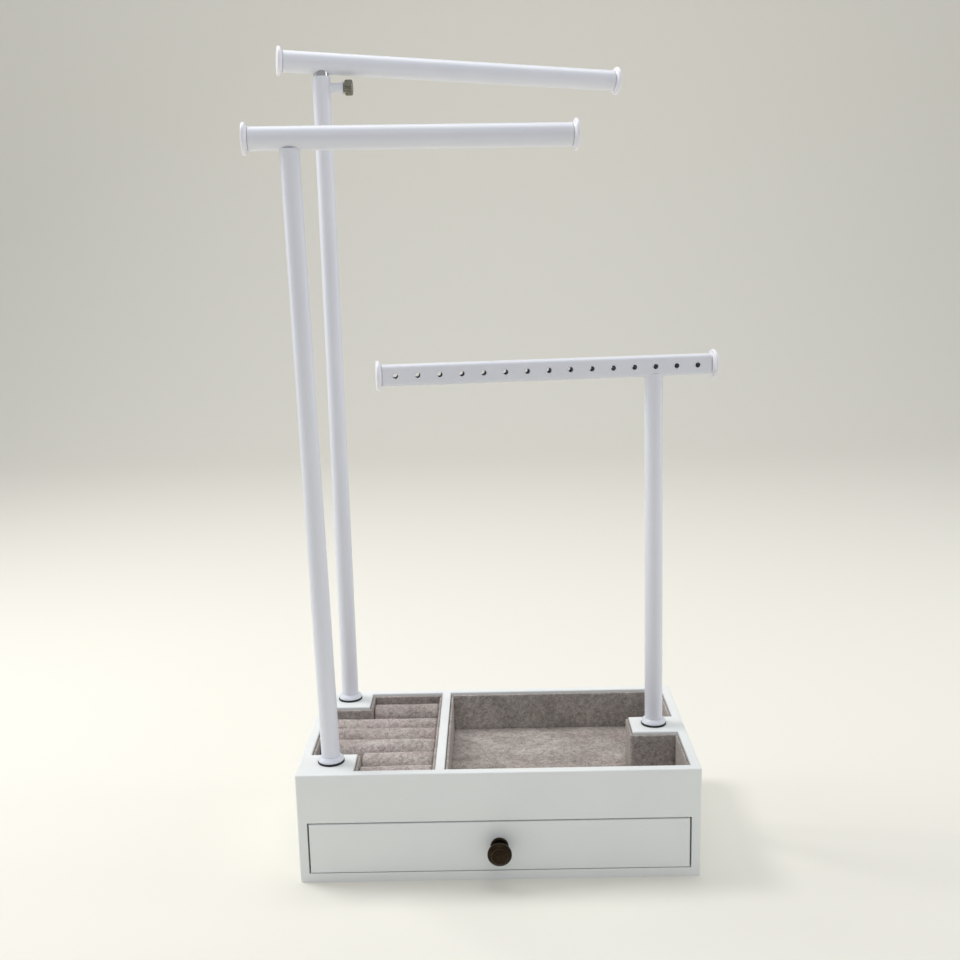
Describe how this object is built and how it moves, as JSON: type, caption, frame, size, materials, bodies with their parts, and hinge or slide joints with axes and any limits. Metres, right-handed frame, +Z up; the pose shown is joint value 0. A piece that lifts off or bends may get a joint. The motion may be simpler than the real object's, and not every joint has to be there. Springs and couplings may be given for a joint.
{
  "type": "jewellery stand",
  "caption": "White tabletop jewellery stand: a lined wooden box with an open tray, ring rolls and a drawer, carrying turning T-bar posts for necklaces and earrings.",
  "frame": {"origin": "centre of the box's underside, on the surface that the stand rests on", "axes": "+X to the right seen from the drawer side, +Y to the back, +Z up; the drawer opens towards -Y"},
  "size_m": [0.3387, 0.2357, 0.6199],
  "materials": {
    "white_painted_wood": "white lacquer on fibreboard, satin",
    "taupe_velvet": "short-pile taupe velvet",
    "white_enamelled_steel": "white powder coat, semi-gloss",
    "white_plastic_cap": "moulded, semi-gloss",
    "black_rubber": "matte",
    "dark_bronze": "oil-rubbed, dark",
    "zinc_plated_steel": "zinc plated",
    "polished_steel": "polished",
    "dark_nickel": "dark nickel plate, knurled",
    "brass": "turned"
  },
  "bodies": {
    "box": {"back_panel": "white_painted_wood", "back_post_block": "white_painted_wood", "bottom_panel": "white_painted_wood", "earring_post_block": "white_painted_wood", "front_post_block": "white_painted_wood", "front_rail": "white_painted_wood", "post_washers": "black_rubber", "ring_roll_1": "taupe_velvet", "ring_roll_2": "taupe_velvet", "ring_roll_3": "taupe_velvet", "ring_roll_4": "taupe_velvet", "ring_roll_5": "taupe_velvet", "ring_roll_6": "taupe_velvet", "ring_well_pad": "taupe_velvet", "side_panel_left": "white_painted_wood", "side_panel_right": "white_painted_wood", "threaded_inserts": "brass", "tray_divider": "white_painted_wood", "tray_floor": "white_painted_wood", "tray_lining_back": "taupe_velvet", "tray_lining_divider": "taupe_velvet", "tray_lining_front": "taupe_velvet", "tray_lining_right": "taupe_velvet", "tray_lining_right_block": "taupe_velvet", "tray_pad": "taupe_velvet", "well_lining_back": "taupe_velvet", "well_lining_back_block": "taupe_velvet", "well_lining_divider": "taupe_velvet", "well_lining_front": "taupe_velvet", "well_lining_front_block": "taupe_velvet", "well_lining_left": "taupe_velvet"},
    "drawer": {"drawer_back": "white_painted_wood", "drawer_floor": "white_painted_wood", "drawer_front": "white_painted_wood", "drawer_pad": "taupe_velvet", "drawer_side_left": "white_painted_wood", "drawer_side_right": "white_painted_wood", "knob": "dark_bronze", "knob_rosette": "dark_bronze", "knob_screw": "zinc_plated_steel"},
    "front_stand": {"front_post": "white_enamelled_steel", "front_collar": "white_enamelled_steel", "front_stud": "zinc_plated_steel", "front_bar": "white_enamelled_steel", "front_bar_caps": "white_plastic_cap"},
    "back_post": {"back_post": "white_enamelled_steel", "back_collar": "white_enamelled_steel", "back_stud": "zinc_plated_steel", "back_clamp_boss": "white_enamelled_steel"},
    "back_bar": {"back_rod": "polished_steel", "back_bar": "white_enamelled_steel", "back_bar_caps": "white_plastic_cap"},
    "thumbscrew_shank": {"back_thumbscrew_shank": "zinc_plated_steel"},
    "thumbscrew_head": {"back_thumbscrew_head": "dark_nickel"},
    "earring_stand": {"earring_post": "white_enamelled_steel", "earring_collar": "white_enamelled_steel", "earring_stud": "zinc_plated_steel", "earring_bar": "white_enamelled_steel", "earring_bar_caps": "white_plastic_cap"}
  },
  "joints": [
    {"name": "drawer_slide", "type": "slide", "parent": "box", "child": "drawer", "axis": [0, -1, 0], "range_m": [0, 0.12]},
    {"name": "front_stand_turn", "type": "hinge", "parent": "box", "child": "front_stand", "pos_m": [-0.126, -0.0585, 0.086], "axis": [-0.0157, 0, 0.9999], "range_deg": [-271, 73]},
    {"name": "back_stand_turn", "type": "hinge", "parent": "box", "child": "back_post", "pos_m": [-0.126, 0.0665, 0.086], "axis": [0, 0, 1], "continuous": true},
    {"name": "back_bar_lift", "type": "slide", "parent": "back_post", "child": "back_bar", "axis": [0, 0, 1], "range_m": [0, 0.09]},
    {"name": "thumbscrew_advance", "type": "slide", "parent": "back_post", "child": "thumbscrew_shank", "axis": [1, 0, 0], "range_m": [0, 0.0016]},
    {"name": "thumbscrew_turn", "type": "hinge", "parent": "thumbscrew_shank", "child": "thumbscrew_head", "pos_m": [-0.126, 0.0665, 0.58905], "axis": [1, 0, 0], "range_deg": [0, 720]},
    {"name": "earring_stand_turn", "type": "hinge", "parent": "box", "child": "earring_stand", "pos_m": [0.126, 0.002, 0.086], "axis": [-0.0061, 0, 1], "continuous": true}
  ],
  "couplings": [
    {"joint": "thumbscrew_advance", "follows": "thumbscrew_turn", "m_per_rad": 0.00012732}
  ]
}
